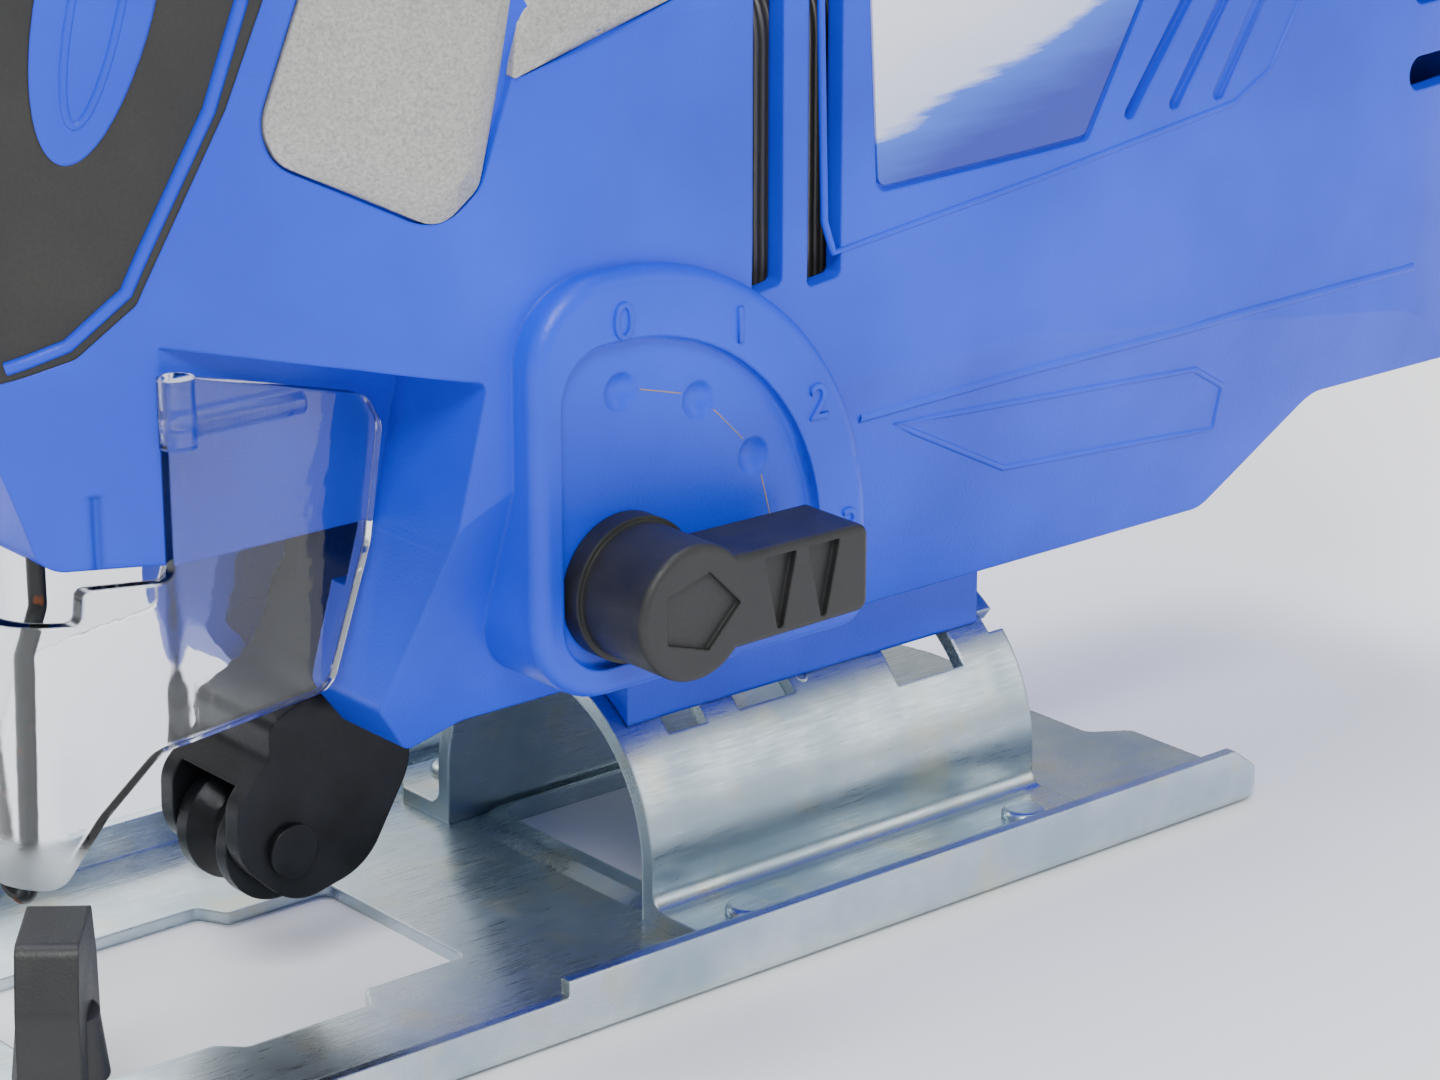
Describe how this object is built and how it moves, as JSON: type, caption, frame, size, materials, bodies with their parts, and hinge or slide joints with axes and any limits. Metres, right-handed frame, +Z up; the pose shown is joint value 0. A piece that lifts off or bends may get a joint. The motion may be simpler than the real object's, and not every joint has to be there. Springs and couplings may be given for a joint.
{
  "type": "jigsaw power tool",
  "caption": "Corded D-handle jigsaw with tilting pressed sole, half-round saddle, roller guide, orbital selector lever and clear blade guard",
  "frame": {"origin": "underside of the sole on the centre line, between the blade opening and the window", "axes": "+Z up, -X towards the nose and blade, -Y towards the tool's left side with the orbital lever"},
  "size_m": [0.2437, 0.086, 0.2084],
  "materials": {
    "body_blue": "satin moulded",
    "soft_black": "matte",
    "silver_paint": "sandblasted",
    "label_print": "gloss",
    "steel": "satin",
    "alloy": "cast",
    "zinc_steel": "zinc plated",
    "black_wire": "black oxide",
    "lamination": "stacked sheet",
    "copper": "enamelled wire",
    "black_plastic": "matte",
    "brass": "satin",
    "carbon": "matte",
    "clear_plastic": "clear moulded",
    "black_steel": "black oxide"
  },
  "bodies": {
    "housing": {"housing_left": "body_blue", "housing_right": "body_blue", "nose_rubber_left": "soft_black", "nose_rubber_right": "soft_black", "grip_rubber_left": "soft_black", "grip_rubber_right": "soft_black", "gear_cover_left": "silver_paint", "gear_cover_right": "silver_paint", "label_plates": "label_print", "housing_screws": "steel", "tilt_shoe": "body_blue", "clamp_plate": "zinc_steel", "finger_guard": "black_wire", "arm_pivot": "steel", "blade_guard": "clear_plastic", "stator_core": "lamination", "field_coils": "copper", "gear_frame": "alloy", "gear_pin": "steel", "front_bearing": "steel", "rear_bearing": "steel", "bearing_seat": "black_plastic", "brush_holders": "brass", "carbon_brushes": "carbon", "plunger_bushings": "brass", "switch_body": "black_plastic", "dial_axle": "steel", "cord_inlet": "black_plastic", "dust_duct": "black_plastic"},
    "sole": {"sole_plate": "zinc_steel", "saddle": "zinc_steel", "rivets": "zinc_steel", "wing_spring_left": "steel", "wing_spring_right": "steel"},
    "clamp_screw": {"clamp_screw": "steel"},
    "wing_screw_left": {"wing_screw_left": "black_plastic"},
    "wing_screw_right": {"wing_screw_right": "black_plastic"},
    "roller_arm": {"roller_arm": "black_steel", "roller_pin": "black_steel"},
    "roller": {"guide_roller": "black_steel"},
    "plunger": {"plunger": "steel", "blade_clamp": "steel"},
    "armature": {"armature_shaft": "steel", "armature_core": "lamination", "commutator": "copper", "fan": "black_plastic"},
    "gear": {"drive_gear": "steel", "counterweight": "steel"},
    "selector": {"orbital_knob": "black_plastic", "orbital_cam": "steel", "detent_ball": "steel"},
    "trigger": {"trigger": "black_plastic"},
    "lock_button": {"lock_button": "black_plastic"},
    "speed_dial": {"speed_dial": "black_plastic"}
  },
  "joints": [
    {"name": "sole_tilt", "type": "hinge", "parent": "housing", "child": "sole", "pos_m": [0, 0, 0.008], "axis": [1, 0, 0], "range_deg": [-45, 45]},
    {"name": "clamp_screw_turn", "type": "hinge", "parent": "housing", "child": "clamp_screw", "pos_m": [0.0595, 0, 0.02], "axis": [0, 0, 1], "continuous": true},
    {"name": "wing_left_turn", "type": "hinge", "parent": "sole", "child": "wing_screw_left", "pos_m": [-0.072, -0.029, 0.01], "axis": [0, 0, 1], "continuous": true},
    {"name": "wing_right_turn", "type": "hinge", "parent": "sole", "child": "wing_screw_right", "pos_m": [-0.072, 0.029, 0.01], "axis": [0, 0, 1], "continuous": true},
    {"name": "roller_swing", "type": "hinge", "parent": "housing", "child": "roller_arm", "pos_m": [-0.012, 0, 0.044], "axis": [0, 1, 0], "range_deg": [0, 5]},
    {"name": "roller_spin", "type": "hinge", "parent": "roller_arm", "child": "roller", "pos_m": [-0.0292, 0, 0.0182], "axis": [0, 1, 0], "continuous": true},
    {"name": "plunger_stroke", "type": "slide", "parent": "housing", "child": "plunger", "axis": [0, 0, 1], "range_m": [-0.018, 0]},
    {"name": "armature_spin", "type": "hinge", "parent": "housing", "child": "armature", "pos_m": [0.05, 0, 0.088], "axis": [1, 0, 0], "continuous": true},
    {"name": "gear_spin", "type": "hinge", "parent": "housing", "child": "gear", "pos_m": [-0.018, 0, 0.116], "axis": [1, 0, 0], "continuous": true},
    {"name": "selector_turn", "type": "hinge", "parent": "housing", "child": "selector", "pos_m": [-0.0035, -0.04, 0.051], "axis": [0, -1, 0], "range_deg": [0, 90]},
    {"name": "trigger_pull", "type": "slide", "parent": "housing", "child": "trigger", "axis": [0, 0, 1], "range_m": [0, 0.006], "stiffness_N_per_m": 800, "springref_m": -0.004},
    {"name": "lock_press", "type": "slide", "parent": "housing", "child": "lock_button", "axis": [0, 1, 0], "range_m": [0, 0.0025], "stiffness_N_per_m": 500, "springref_m": -0.002},
    {"name": "dial_turn", "type": "hinge", "parent": "housing", "child": "speed_dial", "pos_m": [0.077, 0, 0.1982], "axis": [0, 1, 0], "range_deg": [0, 270]}
  ],
  "couplings": [
    {"joint": "gear_spin", "follows": "armature_spin", "ratio": -0.21739}
  ]
}
